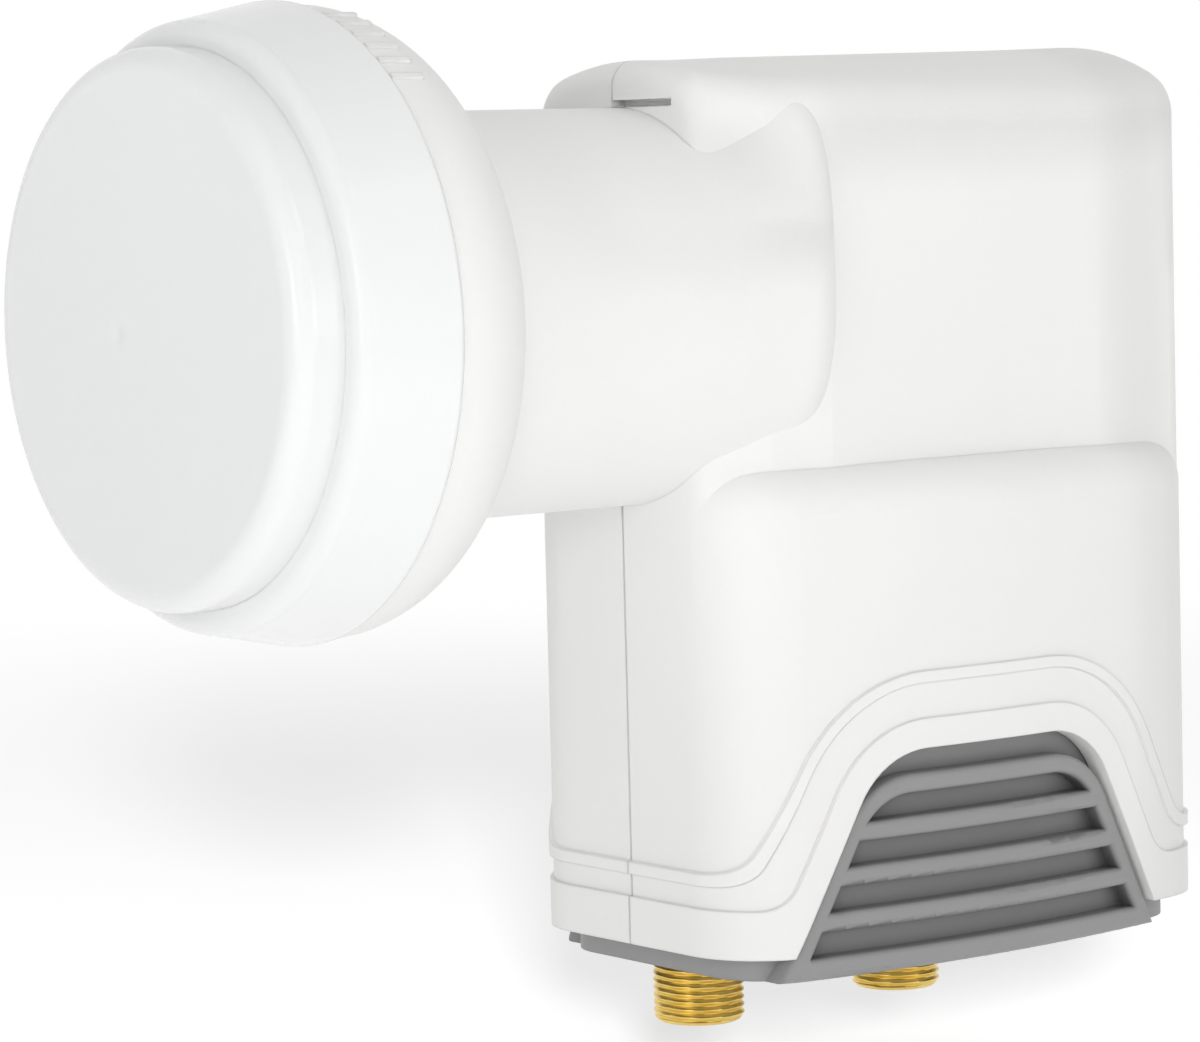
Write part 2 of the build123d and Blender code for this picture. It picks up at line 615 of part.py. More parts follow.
# Sockets
for number, y in enumerate(SOCKET_YS, 1):
    export_step(make_socket(y), f"parts/connector_shell_{number}.step")
    washer = ring_z(SOCKET_X, y, TRAY_Z0 - WASHER_H, TRAY_Z0, WASHER_R, SPIGOT_R)
    export_step(washer, f"parts/connector_washer_{number}.step")
    core = ring_z(SOCKET_X, y, SOCKET_END_Z + CORE_SUNK, TRAY_Z0 + SHELF_H, SOCKET_BORE, PIN_R)
    export_step(core, f"parts/connector_insulator_{number}.step")
    path = [
        (SOCKET_X, y, SOCKET_END_Z + PIN_SUNK),
        (SOCKET_X, y, PIN_BEND_Z),
        (LEAD_X, y, PIN_BEND_Z),
    ]
    export_step(bent_pin(path, PIN_R), f"parts/connector_contact_{number}.step")
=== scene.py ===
"""Looks of the satellite LNB: finishes, threaded sockets, neck cheeks, studio and camera."""

from __future__ import annotations

import json
import logging
from dataclasses import dataclass, field, replace
from enum import Enum
from math import cos, e, pi, radians, sin
from typing import Any, Union

import bmesh
import bpy
from mathutils import Matrix, Vector

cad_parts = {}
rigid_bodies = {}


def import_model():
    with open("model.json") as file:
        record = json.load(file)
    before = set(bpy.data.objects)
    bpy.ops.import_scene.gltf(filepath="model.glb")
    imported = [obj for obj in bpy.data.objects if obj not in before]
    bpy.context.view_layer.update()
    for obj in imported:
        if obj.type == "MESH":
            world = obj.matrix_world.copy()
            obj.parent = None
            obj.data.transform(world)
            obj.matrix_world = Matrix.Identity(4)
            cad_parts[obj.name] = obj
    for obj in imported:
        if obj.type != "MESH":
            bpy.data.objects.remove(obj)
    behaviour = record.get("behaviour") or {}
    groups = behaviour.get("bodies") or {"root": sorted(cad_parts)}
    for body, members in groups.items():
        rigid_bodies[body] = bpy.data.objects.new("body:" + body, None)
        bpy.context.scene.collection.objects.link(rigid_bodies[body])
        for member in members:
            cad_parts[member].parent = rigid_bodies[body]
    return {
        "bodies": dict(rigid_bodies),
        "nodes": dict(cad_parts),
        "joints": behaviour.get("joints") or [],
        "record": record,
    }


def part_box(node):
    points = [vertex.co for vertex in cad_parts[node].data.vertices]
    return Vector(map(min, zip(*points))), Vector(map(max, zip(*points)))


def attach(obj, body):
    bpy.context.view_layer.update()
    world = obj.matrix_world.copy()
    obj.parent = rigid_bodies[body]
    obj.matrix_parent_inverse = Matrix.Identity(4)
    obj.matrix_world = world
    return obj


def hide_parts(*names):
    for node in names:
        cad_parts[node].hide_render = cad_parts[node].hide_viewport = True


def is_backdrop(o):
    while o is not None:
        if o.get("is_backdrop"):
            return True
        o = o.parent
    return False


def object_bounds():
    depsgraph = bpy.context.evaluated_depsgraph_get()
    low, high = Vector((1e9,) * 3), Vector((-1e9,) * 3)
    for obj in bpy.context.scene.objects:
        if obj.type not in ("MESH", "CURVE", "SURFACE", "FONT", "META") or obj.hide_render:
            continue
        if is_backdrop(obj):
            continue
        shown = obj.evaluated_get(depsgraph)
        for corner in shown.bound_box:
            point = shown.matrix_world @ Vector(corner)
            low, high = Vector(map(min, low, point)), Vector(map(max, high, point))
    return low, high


MM = 0.001
PHOTO_WIDTH = 1200.0
LOG = logging.getLogger("lnb")

Colour = tuple[float, float, float]
Vector3 = tuple[float, float, float]
Ring = list[bmesh.types.BMVert]


def unit(value: float) -> float:
    """The value kept between 0 and 1."""
    return min(max(value, 0.0), 1.0)


def backward(azimuth: float, elevation: float) -> Vector:
    """Direction from the part to a camera or lamp.

    Args:
        azimuth: angle round the part in degrees, 0 looking along +Y.
        elevation: angle above the level in degrees.

    Returns:
        The unit vector.
    """
    turn, rise = radians(azimuth), radians(elevation)
    return Vector((sin(turn) * cos(rise), -cos(turn) * cos(rise), sin(rise)))


def mesh_piece(mesh: bmesh.types.BMesh, name: str, sharp: float) -> bpy.types.Object:
    """Turn finished faces into a smoothly shaded piece.

    Args:
        mesh: the faces, which are freed.
        name: name of the piece.
        sharp: angle in degrees from which an edge stays sharp.

    Returns:
        The new piece.
    """
    bmesh.ops.recalc_face_normals(mesh, faces=mesh.faces)
    data = bpy.data.meshes.new(name)
    mesh.to_mesh(data)
    mesh.free()
    data.polygons.foreach_set("use_smooth", [True] * len(data.polygons))
    data.set_sharp_from_angle(angle=radians(sharp))
    piece = bpy.data.objects.new(name, data)
    bpy.context.scene.collection.objects.link(piece)
    return piece


class Sock:
    """One output socket of a node, with the operators that shader maths uses."""

    def __init__(self, graph: "Graph", socket: bpy.types.NodeSocket) -> None:
        """Keep the graph that new nodes go to and the socket itself.

        Args:
            graph: node graph that the socket belongs to.
            socket: output socket to wrap.
        """
        self.graph = graph
        self.socket = socket

    def _math(self, operation: str, first: Any, second: Any) -> "Sock":
        """Add one Math node.

        Args:
            operation: name of the Math node's operation.
            first: value or socket for the first input.
            second: value or socket for the second input.

        Returns:
            The node's result.
        """
        return self.graph.node("ShaderNodeMath", {"operation": operation}, {0: first, 1: second})

    def __add__(self, other: Any) -> "Sock":
        """Sum of this socket and another value."""
        return self._math("ADD", self, other)

    def __radd__(self, other: Any) -> "Sock":
        """Sum with the plain number on the left."""
        return self._math("ADD", other, self)

    def __sub__(self, other: Any) -> "Sock":
        """This socket less another value."""
        return self._math("SUBTRACT", self, other)

    def __rsub__(self, other: Any) -> "Sock":
        """A plain number less this socket."""
        return self._math("SUBTRACT", other, self)

    def __mul__(self, other: Any) -> "Sock":
        """Product of this socket and another value."""
        return self._math("MULTIPLY", self, other)

    def __rmul__(self, other: Any) -> "Sock":
        """Product with the plain number on the left."""
        return self._math("MULTIPLY", other, self)

    def __pow__(self, other: Any) -> "Sock":
        """This socket to the power of another value."""
        return self._math("POWER", self, other)

    def __rpow__(self, other: Any) -> "Sock":
        """A plain number to the power of this socket."""
        return self._math("POWER", other, self)

    def maximum(self, other: Any) -> "Sock":
        """The larger of this socket and another value."""
        return self._math("MAXIMUM", self, other)


class Graph:
    """Node tree of one material or of the world."""

    def __init__(self, tree: bpy.types.NodeTree) -> None:
        """Start from an empty tree.

        Args:
            tree: node tree to fill.
        """
        self.tree = tree
        self.tree.nodes.clear()

    def node(
        self,
        kind: str,
        settings: dict[str, Any] | None = None,
        inputs: dict[Union[str, int], Any] | None = None,
        output: Union[str, int] = 0,
    ) -> Sock:
        """Add any node.

        Args:
            kind: Blender's name of the node type.
            settings: properties of the node, set before its sockets.
            inputs: values or sockets for the node's inputs, by name or index.
            output: which output to return.

        Returns:
            The chosen output of the new node.
        """
        made = self.tree.nodes.new(kind)
        for name, value in (settings or {}).items():
            setattr(made, name, value)
        for name, value in (inputs or {}).items():
            if isinstance(value, Sock):
                self.tree.links.new(value.socket, made.inputs[name])
            elif isinstance(value, tuple) and len(value) == 3 and made.inputs[name].type == "RGBA":
                made.inputs[name].default_value = (*value, 1.0)
            else:
                made.inputs[name].default_value = value
        return Sock(self, made.outputs[output]) if made.outputs else Sock(self, None)

    def mix(self, factor: Any, first: Any, second: Any) -> Sock:
        """Blend two colours.

        Args:
            factor: share of the second colour.
            first: colour or socket at factor 0.
            second: colour or socket at factor 1.

        Returns:
            The blended colour.
        """
        settings = {"data_type": "RGBA", "clamp_factor": True}
        return self.node("ShaderNodeMix", settings, {0: factor, 6: first, 7: second}, 2)

    def place(self) -> Sock:
        """Place of the surface in the part's own frame, in metres."""
        return self.node("ShaderNodeTexCoord", None, None, "Object")

    def noise(
        self, cell: float, detail: float = 2.0, rough: float = 0.5, stretch: Vector3 = (1.0, 1.0, 1.0)
    ) -> Sock:
        """Noise in the part's own frame.

        Args:
            cell: size of the noise's cells in metres.
            detail: octaves of finer noise.
            rough: strength of each finer octave.
            stretch: factors on X, Y and Z, where a small one draws the cells out along that axis.

        Returns:
            The noise value, about 0.5 on average.
        """
        place = self.node("ShaderNodeVectorMath", {"operation": "MULTIPLY"}, {0: self.place(), 1: stretch})
        values = {"Vector": place, "Scale": 1.0 / cell, "Detail": detail, "Roughness": rough}
        return self.node("ShaderNodeTexNoise", None, values, 0)

    def along(self, axis: str) -> Sock:
        """Place of the surface along one axis of the part's own frame."""
        return self.node("ShaderNodeSeparateXYZ", None, {0: self.place()}, axis)

    def rise(self, axis: str, start: float, run: float) -> Sock:
        """Smooth rise from 0 to 1 along one axis of the part's own frame.

        Args:
            axis: name of the axis.
            start: where the rise starts, in metres.
            run: length of the rise.

        Returns:
            The rising value.
        """
        return self.ease(self.along(axis), start, run)

    def ease(self, value: Sock, start: float, run: float) -> Sock:
        """Smooth rise from 0 to 1 of any value.

        Args:
            value: the value.
            start: where the rise starts.
            run: length of the rise.

        Returns:
            The rising value.
        """
        values = {"Value": value, "From Min": start, "From Max": start + run}
        return self.node("ShaderNodeMapRange", {"interpolation_type": "SMOOTHSTEP"}, values)

    def distance(self, point: Vector3) -> Sock:
        """Distance of the surface from a point of the part's own frame."""
        ends = {0: self.place(), 1: point}
        return self.node("ShaderNodeVectorMath", {"operation": "DISTANCE"}, ends, "Value")


class Grain(Enum):
    """Surface texture that a mould leaves on plastic."""

    POLISHED = 0.0
    SATIN = 0.5
    SPARKED = 1.0


def new_material(name: str) -> tuple[bpy.types.Material, Graph]:
    """Make an empty node material.

    Args:
        name: name of the material.

    Returns:
        The material and its graph.
    """
    material = bpy.data.materials.new(name)
    material.use_nodes = True
    return material, Graph(material.node_tree)


def finish_surface(graph: Graph, inputs: dict[Union[str, int], Any]) -> None:
    """Close a graph with one Principled shader.

    Args:
        graph: graph of the material.
        inputs: values or sockets for the shader's inputs.
    """
    shader = graph.node("ShaderNodeBsdfPrincipled", None, inputs)
    graph.node("ShaderNodeOutputMaterial", None, {"Surface": shader})


@dataclass(frozen=True)
class MouldMark:
    """Shallow round hollow that the mould leaves, such as a gate or a sink."""

    place: Vector3
    radius: float
    depth: float

    def height(self, graph: Graph) -> Sock:
        """Height of the surface over the hollow.

        Args:
            graph: graph of the material.

        Returns:
            The height in metres, below zero in the hollow.
        """
        share = graph.distance(self.place) * (1.0 / self.radius)
        return -self.depth * e ** (-1.0 * share * share)


@dataclass(frozen=True)
class ShoulderRelief:
    """Fall-away of the housing's upper sides with the distance from the feed axis, and of its back.

    It softens the corners over the neck and along the crown, and leaves the round neck alone.
    """

    depth: float
    root_radius: float = 17.5 * MM
    panel_radius: float = 19.6 * MM
    run: float = 7.0 * MM
    panel: float = 21.0 * MM
    panel_run: float = 9.0 * MM
    low: float = 1.0 * MM
    low_run: float = 8.0 * MM
    neck: float = -8.0 * MM
    neck_run: float = 10.0 * MM
    back: float = 64.5 * MM
    back_run: float = 14.5 * MM
    back_depth: float = 2.2 * MM

    def height(self, graph: Graph) -> Sock:
        """Height of the surface over the plain sides.

        Args:
            graph: graph of the material.

        Returns:
            The height in metres, below zero where the sides fall away.
        """
        across = graph.along("X")
        upward = graph.along("Z")
        reach = (across * across + upward * upward) ** 0.5
        step = self.panel_radius - self.root_radius
        start = self.root_radius + step * graph.rise("Y", self.panel, self.panel_run)
        fall = graph.ease(reach - start, 0.0, self.run)
        upper = graph.rise("Z", self.low, self.low_run) * graph.rise("Y", self.neck, self.neck_run)
        back = graph.rise("Y", self.back, self.back_run)
        return -self.depth * (fall * upper) - self.back_depth * back


@dataclass(frozen=True)
class SoftZone:
    """Zone of a moulding whose edges are rounded over more widely than elsewhere."""

    radius: float
    from_y: float
    from_z: float
    run: float
    samples: int = 8

    def normal(self, graph: Graph, tight: Sock) -> Sock:
        """Blend the tight edges into the wide ones inside the zone.

        Args:
            graph: graph of the material.
            tight: normal with the edges that hold elsewhere.

        Returns:
            The normal for the whole moulding.
        """
        wide = graph.node("ShaderNodeBevel", {"samples": self.samples}, {"Radius": self.radius})
        inside = graph.rise("Y", self.from_y, self.run) * graph.rise("Z", self.from_z, self.run)
        values = {0: inside, 4: tight, 5: wide}
        mixed = graph.node("ShaderNodeMix", {"data_type": "VECTOR"}, values, 1)
        return graph.node("ShaderNodeVectorMath", {"operation": "NORMALIZE"}, {0: mixed})


@dataclass(frozen=True)
class MouldedPlastic:
    """Injection-moulded plastic with mould grain, softened edges, faint cloudiness and, where set, painted
    shade in its recesses.
    """

    name: str
    colour: Colour
    shade: Colour
    roughness: float
    grain: Grain = Grain.SATIN
    grain_cell: float = 0.45 * MM
    grain_depth: float = 0.02 * MM
    edge: float = 0.3 * MM
    coat: float = 0.0
    marks: tuple[MouldMark, ...] = ()
    zone: SoftZone | None = None
    relief: ShoulderRelief | None = None
    # painted shade in recesses: how dark it goes, how far the occlusion looks, its contrast and its samples
    recess_shade: float = 0.0
    recess_shade_reach: float = 2.5 * MM
    recess_shade_contrast: float = 1.5
    recess_shade_samples: int = 6
    edge_samples: int = 4
    cloud_cell: float = 14.0 * MM
    cloud_share: float = 0.7
    speckle_share: float = 0.3
    least_grain: float = 0.15
    grain_gain: float = 0.6
    gloss_spread: float = 0.12
    coat_roughness: float = 0.06

    def material(self) -> bpy.types.Material:
        """Build the material.

        Returns:
            The finished material.
        """
        material, graph = new_material(self.name)
        cloud = graph.noise(self.cloud_cell, 3.0)
        speckle = graph.noise(self.grain_cell, 2.0, 0.6)
        share = cloud * self.cloud_share + speckle * self.speckle_share
        tone = graph.mix(share, self.shade, self.colour)
        # painted shade: the colour is darkened where ambient occlusion finds a recess
        if self.recess_shade:
            tone = self._paint_recess_shade(graph, tone)
        rounded = graph.node("ShaderNodeBevel", {"samples": self.edge_samples}, {"Radius": self.edge})
        if self.zone:
            rounded = self.zone.normal(graph, rounded)
        height = speckle * (self.grain_depth * (self.least_grain + self.grain_gain * self.grain.value))
        for mark in self.marks:
            height = height + mark.height(graph)
        if self.relief:
            height = height + self.relief.height(graph)
        values = {"Strength": 1.0, "Distance": 1.0, "Height": height, "Normal": rounded}
        normal = graph.node("ShaderNodeBump", None, values)
        inputs = {
            "Base Color": tone,
            "Roughness": self.roughness + self.gloss_spread * (speckle - 0.5),
            "Coat Weight": self.coat,
            "Coat Roughness": self.coat_roughness,
            "Normal": normal,
        }
        finish_surface(graph, inputs)
        return material

    def _paint_recess_shade(self, graph: Graph, tone: Sock) -> Sock:
        """Paint shade into the colour in narrow recesses: a painted shade, darker where ambient occlusion
        finds the surface hemmed in.

        Args:
            graph: graph of the material.
            tone: colour of the open surface.

        Returns:
            The colour of the whole surface.
        """
        settings = {"samples": self.recess_shade_samples, "only_local": True}
        # ambient occlusion drives the painted shade: the less open the surface, the darker its colour
        clear = graph.node("ShaderNodeAmbientOcclusion", settings, {"Distance": self.recess_shade_reach}, "AO")
        deep = tuple(self.recess_shade * part for part in self.shade)
        return graph.mix(self.recess_shade_contrast * clear - (self.recess_shade_contrast - 1.0), deep, tone)


@dataclass(frozen=True)
class TurnedMetal:
    """Metal cut on a lathe or cast, with fine marks that run round its axis."""

    name: str
    colour: Colour
    shade: Colour
    roughness: float
    mark: float = 0.12 * MM
    depth: float = 0.004 * MM
    lay: Vector3 = (0.12, 0.12, 1.0)
    cloud_cell: float = 2.5 * MM
    cloud_gain: float = 2.2
    cloud_drop: float = 0.6
    mark_strength: float = 0.5
    gloss_spread: float = 0.2

    def material(self) -> bpy.types.Material:
        """Build the material.

        Returns:
            The finished material.
        """
        material, graph = new_material(self.name)
        cloud = graph.noise(self.cloud_cell, 3.0, 0.6)
        mark = graph.noise(self.mark, 2.0, 0.6, self.lay)
        tone = graph.mix(self.cloud_gain * cloud - self.cloud_drop, self.shade, self.colour)
        values = {"Strength": self.mark_strength, "Distance": self.depth, "Height": mark}
        normal = graph.node("ShaderNodeBump", None, values)
        inputs = {
            "Base Color": tone,
            "Metallic": 1.0,
            "Roughness": self.roughness + self.gloss_spread * (mark - 0.5),
            "Normal": normal,
        }
        finish_surface(graph, inputs)
        return material


@dataclass
class Finishes:
    """All materials of the part, by name. A slot of the record has the material of its own name."""

    made: dict[str, bpy.types.Material] = field(default_factory=dict)

    def build(self) -> None:
        """Make every finish once."""
        shell = MouldedPlastic(
            "shell_white", (0.872, 0.87, 0.86), (0.845, 0.842, 0.828), 0.5, Grain.SPARKED,
            zone=SoftZone(4.0 * MM, 24.0 * MM, -1.0 * MM, 5.0 * MM),
            relief=ShoulderRelief(2.6 * MM),
        )
        cheek_relief = ShoulderRelief(3.6 * MM, panel_radius=17.5 * MM)
        cheek = replace(shell, name="cheek_white", zone=None, relief=cheek_relief)
        gate = MouldMark((-3.7 * MM, -42.3 * MM, -0.3 * MM), 0.85 * MM, 0.16 * MM)
        sink = MouldMark((15.2 * MM, -42.3 * MM, -1.0 * MM), 1.3 * MM, 0.03 * MM)
        cap = MouldedPlastic(
            "cap_white", (0.84, 0.844, 0.846), (0.825, 0.83, 0.833), 0.22, Grain.POLISHED,
            3.0 * MM, 0.01 * MM, 0.35 * MM, 0.3, (gate, sink),
        )
        # the boot's colour carries painted shade in the gaps between its ribs
        boot = MouldedPlastic(
            "boot_grey", (0.31, 0.308, 0.312), (0.27, 0.27, 0.273), 0.5, Grain.SATIN,
            0.35 * MM, 0.02 * MM, 0.3 * MM, recess_shade=0.45,
        )
        casting = TurnedMetal(
            "cast_metal", (0.55, 0.56, 0.57), (0.46, 0.47, 0.48), 0.5, 0.5 * MM, 0.02 * MM, (1.0, 1.0, 1.0)
        )
        plastics = (
            shell,
            cheek,
            cap,
            boot,
            MouldedPlastic("board_green", (0.03, 0.17, 0.07), (0.02, 0.13, 0.05), 0.35, Grain.POLISHED),
            MouldedPlastic("chip_black", (0.022, 0.022, 0.024), (0.016, 0.016, 0.018), 0.5),
            MouldedPlastic("ceramic_tan", (0.42, 0.3, 0.18), (0.38, 0.27, 0.16), 0.45),
            MouldedPlastic("insulator_white", (0.83, 0.83, 0.81), (0.79, 0.79, 0.76), 0.45),
            MouldedPlastic("seal_rubber", (0.03, 0.03, 0.03), (0.022, 0.022, 0.022), 0.7),
        )
        metals = (
            TurnedMetal("socket_brass", (0.84, 0.64, 0.2), (0.74, 0.53, 0.14), 0.33),
            TurnedMetal("contact_gold", (0.83, 0.64, 0.28), (0.78, 0.58, 0.24), 0.25),
            casting,
            TurnedMetal("tin_plate", (0.66, 0.67, 0.68), (0.6, 0.61, 0.62), 0.3),
            TurnedMetal("screw_steel", (0.5, 0.51, 0.52), (0.44, 0.45, 0.46), 0.35),
        )
        for finish in plastics + metals:
            self.made[finish.name] = finish.material()

    def dress(self, piece: bpy.types.Object, name: str) -> None:
        """Give one piece a finish.

        Args:
            piece: object to dress.
            name: name of the finish.
        """
        piece.data.materials.clear()
        piece.data.materials.append(self.made[name])


@dataclass
class FSocket:
    """Outer conductor of one F socket with its cut thread."""

    node: str
    body: str
    radius: float = 4.7625 * MM
    pitch: float = 25.4 / 32 * MM
    thread_depth: float = 0.3 * MM
    root_flat: float = 0.12
    flank_share: float = 0.76
    runout_turns: float = 1.2
    mouth_chamfer: float = 0.5 * MM
    mouth_lip: float = 0.3 * MM
    mouth_flare: float = 0.25 * MM
    bore: float = 2.6 * MM
    hex_flat: float = 11.0 * MM
    hex_height: float = 3.0 * MM
    hex_chamfer: float = 0.35 * MM
    hex_relief: float = 0.1 * MM
    spigot: float = 4.0 * MM
    spigot_height: float = 3.8 * MM
    sharp: float = 32.0
    around: int = 96
    per_turn: int = 10

    def thread_radius(self, angle: float, height: float, length: float) -> float:
        """Radius of the thread's flank at one point.

        Args:
            angle: angle round the axis, in radians.
            height: height above the mouth.
            length: length of the whole thread.

        Returns:
            The radius there.
        """
        phase = (height / self.pitch + angle / (2 * pi)) % 1.0
        flank = abs(phase - 0.5) * 2.0
        crest = unit((flank - self.root_flat) / self.flank_share)
        cut = self.thread_depth * (1.0 - crest)
        runout = unit((length - height) / (self.runout_turns * self.pitch))
        mouth = self.mouth_chamfer - height
        outer = self.radius - cut * runout
        return min(outer, self.radius - max(mouth, 0.0))

    def build(self, finishes: Finishes) -> bpy.types.Object:
        """Make the socket in place of its plain solid.

        Args:
            finishes: the part's materials.

        Returns:
            The new piece.
        """
        low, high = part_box(self.node)
        middle = (low + high) / 2
        hex_top = high.z - self.spigot_height
        hex_low = hex_top - self.hex_height
        mesh = bmesh.new()
        rings = [self._ring(mesh, middle, low.z + self.mouth_lip, self.bore)]
        rings.append(self._ring(mesh, middle, low.z, self.bore + self.mouth_flare))
        rings.extend(self._thread(mesh, middle, low.z, hex_low - low.z))
        self._skin(mesh, rings)
        self._tube(mesh, middle, low.z + self.mouth_lip, high.z)
        self._hexagon(mesh, middle, hex_low, hex_top)
        piece = mesh_piece(mesh, self.node + "_threaded", self.sharp)
        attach(piece, self.body)
        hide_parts(self.node)
        finishes.dress(piece, "socket_brass")
        return piece

    def _ring(self, mesh: bmesh.types.BMesh, middle: Vector, z: float, radius: float) -> Ring:
        """One level ring of vertices round the socket's axis."""
        ring = []
        for step in range(self.around):
            angle = 2 * pi * step / self.around
            ring.append(mesh.verts.new((middle.x + radius * cos(angle), middle.y + radius * sin(angle), z)))
        return ring

    def _thread(self, mesh: bmesh.types.BMesh, middle: Vector, z0: float, length: float) -> list[Ring]:
        """Rings of vertices that follow the thread from the mouth up to the hexagon."""
        count = int(length / self.pitch * self.per_turn)
        rings = []
        for level in range(count + 1):
            height = length * level / count
            ring = []
            for step in range(self.around):
                angle = 2 * pi * step / self.around
                radius = self.thread_radius(angle, height, length)
                place = (middle.x + radius * cos(angle), middle.y + radius * sin(angle), z0 + height)
                ring.append(mesh.verts.new(place))
            rings.append(ring)
        return rings

    @staticmethod
    def _skin(mesh: bmesh.types.BMesh, rings: list[Ring]) -> None:
        """Join rings of equal count with quads."""
        for lower, upper in zip(rings, rings[1:]):
            count = len(lower)
            for step in range(count):
                after = (step + 1) % count
                mesh.faces.new((lower[step], lower[after], upper[after], upper[step]))

    def _tube(self, mesh: bmesh.types.BMesh, middle: Vector, z0: float, z1: float) -> None:
        """Bore from the mouth up through the spigot, and the spigot's outside."""
        inner = [self._ring(mesh, middle, z, self.bore) for z in (z0, z1)]
        outer = [self._ring(mesh, middle, z, self.spigot) for z in (z1, z1 - self.spigot_height)]
        self._skin(mesh, inner + outer)

    def _hexagon(self, mesh: bmesh.types.BMesh, middle: Vector, z0: float, z1: float) -> None:
        """Hexagon with turned corners, as a spanner fits it."""
        corner = self.hex_flat / 2 / cos(pi / 6)
        turned = self.hex_flat / 2 - self.hex_relief
        levels = (z0, turned), (z0 + self.hex_chamfer, corner), (z1 - self.hex_chamfer, corner), (z1, turned)
        rings = []
        for z, limit in levels:
            ring = []
            for step in range(self.around):
                angle = 2 * pi * step / self.around
                sector = (angle + pi / 6) % (pi / 3) - pi / 6
                flat = self.hex_flat / 2 / cos(pi / 6 - abs(sector))
                radius = min(flat, limit)
                place = (middle.x + radius * cos(angle), middle.y + radius * sin(angle), z)
                ring.append(mesh.verts.new(place))
            rings.append(ring)
        self._skin(mesh, rings)
        mesh.faces.new(rings[0])
        mesh.faces.new(list(reversed(rings[-1])))


@dataclass
class NeckCheek:
    """Soft cheek on each side, where the round neck squares off into the housing."""

    body: str
    neck: float = 20.0 * MM
    start: float = 13.0 * MM
    square_from: float = 13.8 * MM
    square_run: float = 13.0 * MM
    top: float = 24.4 * MM
    top_power: float = 3.4
    foot_power: float = 2.0
    round_from: float = 23.4 * MM
    round_run: float = 5.0 * MM
    round_drop: float = 4.6 * MM
    core: float = 19.2 * MM
    core_gap: float = 0.5 * MM
    skin: float = 0.04 * MM
    swing: float = 86.0
    sharp: float = 40.0
    along: int = 48
    around: int = 72

    def outer(self, y: float, angle: float) -> tuple[float, float]:
        """Outside of the cheek in one section.

        Args:
            y: place of the section along the feed axis.
            angle: angle round the axis from the side, in radians.

        Returns:
            The X and Z of the surface there, on the right-hand side.
        """
        share = unit((y - self.square_from) / self.square_run)
        share = share * share * (3.0 - 2.0 * share)
        fall = unit((y - self.round_from) / self.round_run)
        drop = self.round_drop * (1.0 - (1.0 - fall * fall) ** 0.5)
        half = self.neck - self.skin * (1.0 - 2.0 * share) - drop
        tall = self.neck - self.skin + share * (self.top - self.neck if angle > 0 else 0.0)
        power = 2.0 + share * ((self.top_power if angle > 0 else self.foot_power) - 2.0)
        x = half * abs(cos(angle)) ** (2.0 / power)
        z = tall * abs(sin(angle)) ** (2.0 / power)
        return x, z if angle > 0 else -z

    def build(self, side: int, finishes: Finishes) -> bpy.types.Object:
        """Make the cheek of one side.

        Args:
            side: 1 for the right-hand side, -1 for the left-hand one.
            finishes: the part's materials.

        Returns:
            The new piece.
        """
        mesh = bmesh.new()
        skins: list[list[Ring]] = [[], []]
        for row in range(self.along + 1):
            y = self.start + (self.round_from + self.round_run - self.start) * row / self.along
            for skin in skins:
                skin.append([])
            for column in range(self.around + 1):
                angle = radians(self.swing * (2.0 * column / self.around - 1.0))
                x, z = self.outer(y, angle)
                deep = min(self.core, self.outer(y, 0.0)[0] - self.core_gap)
                skins[0][-1].append(mesh.verts.new((side * x, y, z)))
                under = (side * deep * cos(angle), y, self.core * sin(angle))
                skins[1][-1].append(mesh.verts.new(under))
        for skin in skins:
            for low, high in zip(skin, skin[1:]):
                for place in range(self.around):
                    mesh.faces.new((low[place], low[place + 1], high[place + 1], high[place]))
        outer, inner = skins
        rims = [(outer[0], inner[0]), (outer[-1], inner[-1])]
        rims.extend(([row[end] for row in outer], [row[end] for row in inner]) for end in (0, -1))
        for first, second in rims:
            for place in range(len(first) - 1):
                mesh.faces.new((first[place], first[place + 1], second[place + 1], second[place]))
        piece = mesh_piece(mesh, "neck_cheek_right" if side > 0 else "neck_cheek_left", self.sharp)
        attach(piece, self.body)
        finishes.dress(piece, "cheek_white")
        return piece


@dataclass
class Assembly:
    """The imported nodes, each dressed in the finish of its slot."""

    frame: dict[str, Any]
    finishes: Finishes

    def dress(self) -> None:
        """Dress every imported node."""
        for part in self.frame["record"]["subparts"]:
            self.finishes.dress(self.frame["nodes"][part["node"]], part["material_slot"])
            LOG.info("dressed %s as %s", part["node"], part["material_slot"])

    def sockets(self) -> None:
        """Put the threaded sockets in place of the plain ones."""
        for node in sorted(self.frame["nodes"]):
            if node.startswith("connector_shell"):
                piece = FSocket(node, "housing").build(self.finishes)
                LOG.info("built %s", piece.name)

    def cheeks(self) -> None:
        """Lay the cheeks on both sides of the neck's root."""
        for side in (1, -1):
            piece = NeckCheek("housing").build(side, self.finishes)
            LOG.info("built %s", piece.name)


@dataclass
class Softbox:
    """One rectangular studio lamp aimed at a point."""

    name: str
    azimuth: float
    elevation: float
    distance: float
    width: float
    height: float
    glow: float
    mirrored: bool = True
    floor_only: bool = False

    def build(self, target: Vector, floor: bpy.types.Object) -> bpy.types.Object:
        """Make the lamp.

        Args:
            target: point that the lamp is aimed at.
            floor: studio floor, the one thing that a floor lamp lights.

        Returns:
            The lamp object.
        """
        lamp = bpy.data.lights.new(self.name, "AREA")
        lamp.shape = "RECTANGLE"
        lamp.size = self.width
        lamp.size_y = self.height
        lamp.energy = self.glow * pi * self.width * self.height
        piece = bpy.data.objects.new(self.name, lamp)
        back = backward(self.azimuth, self.elevation)
        piece.location = target + back * self.distance
        piece.rotation_euler = back.to_track_quat("Z", "Y").to_euler()
        piece.visible_glossy = self.mirrored
        if self.floor_only:
            lit = bpy.data.collections.new(self.name + "_lit")
            lit.objects.link(floor)
            piece.light_linking.receiver_collection = lit
        bpy.context.scene.collection.objects.link(piece)
        return piece


